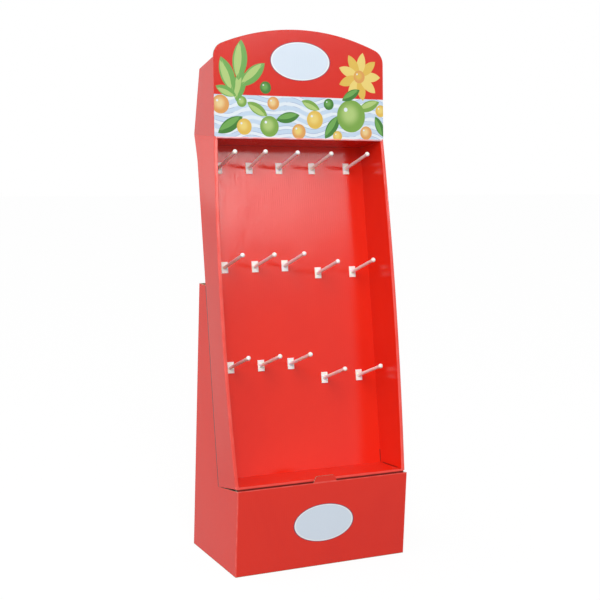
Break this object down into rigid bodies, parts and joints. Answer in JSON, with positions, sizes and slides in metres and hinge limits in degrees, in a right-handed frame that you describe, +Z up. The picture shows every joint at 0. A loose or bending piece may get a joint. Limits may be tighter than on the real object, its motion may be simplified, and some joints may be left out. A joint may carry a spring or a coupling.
{
  "type": "cardboard display stand",
  "caption": "Tall floor display of folded board: a base box, a leaning tray with a hooked back panel and an arched header hood.",
  "frame": {"origin": "middle of the base box's underside, on the floor", "axes": "+Z up, +Y towards the back, +X to the right of someone who faces the stand"},
  "size_m": [0.5202, 0.3351, 1.3893],
  "materials": {
    "red_board": "printed and gloss varnished",
    "brown_board": "plain kraft",
    "hook_plastic": "moulded, milky"
  },
  "bodies": {
    "root": {"base_box": "red_board", "base_riser": "brown_board", "tray": "red_board", "header": "red_board", "hook_1_1": "hook_plastic", "hook_1_2": "hook_plastic", "hook_1_3": "hook_plastic", "hook_1_4": "hook_plastic", "hook_1_5": "hook_plastic", "hook_2_1": "hook_plastic", "hook_2_2": "hook_plastic", "hook_2_3": "hook_plastic", "hook_2_4": "hook_plastic", "hook_2_5": "hook_plastic", "hook_3_1": "hook_plastic", "hook_3_2": "hook_plastic", "hook_3_3": "hook_plastic", "hook_3_4": "hook_plastic", "hook_3_5": "hook_plastic"}
  },
  "joints": []
}
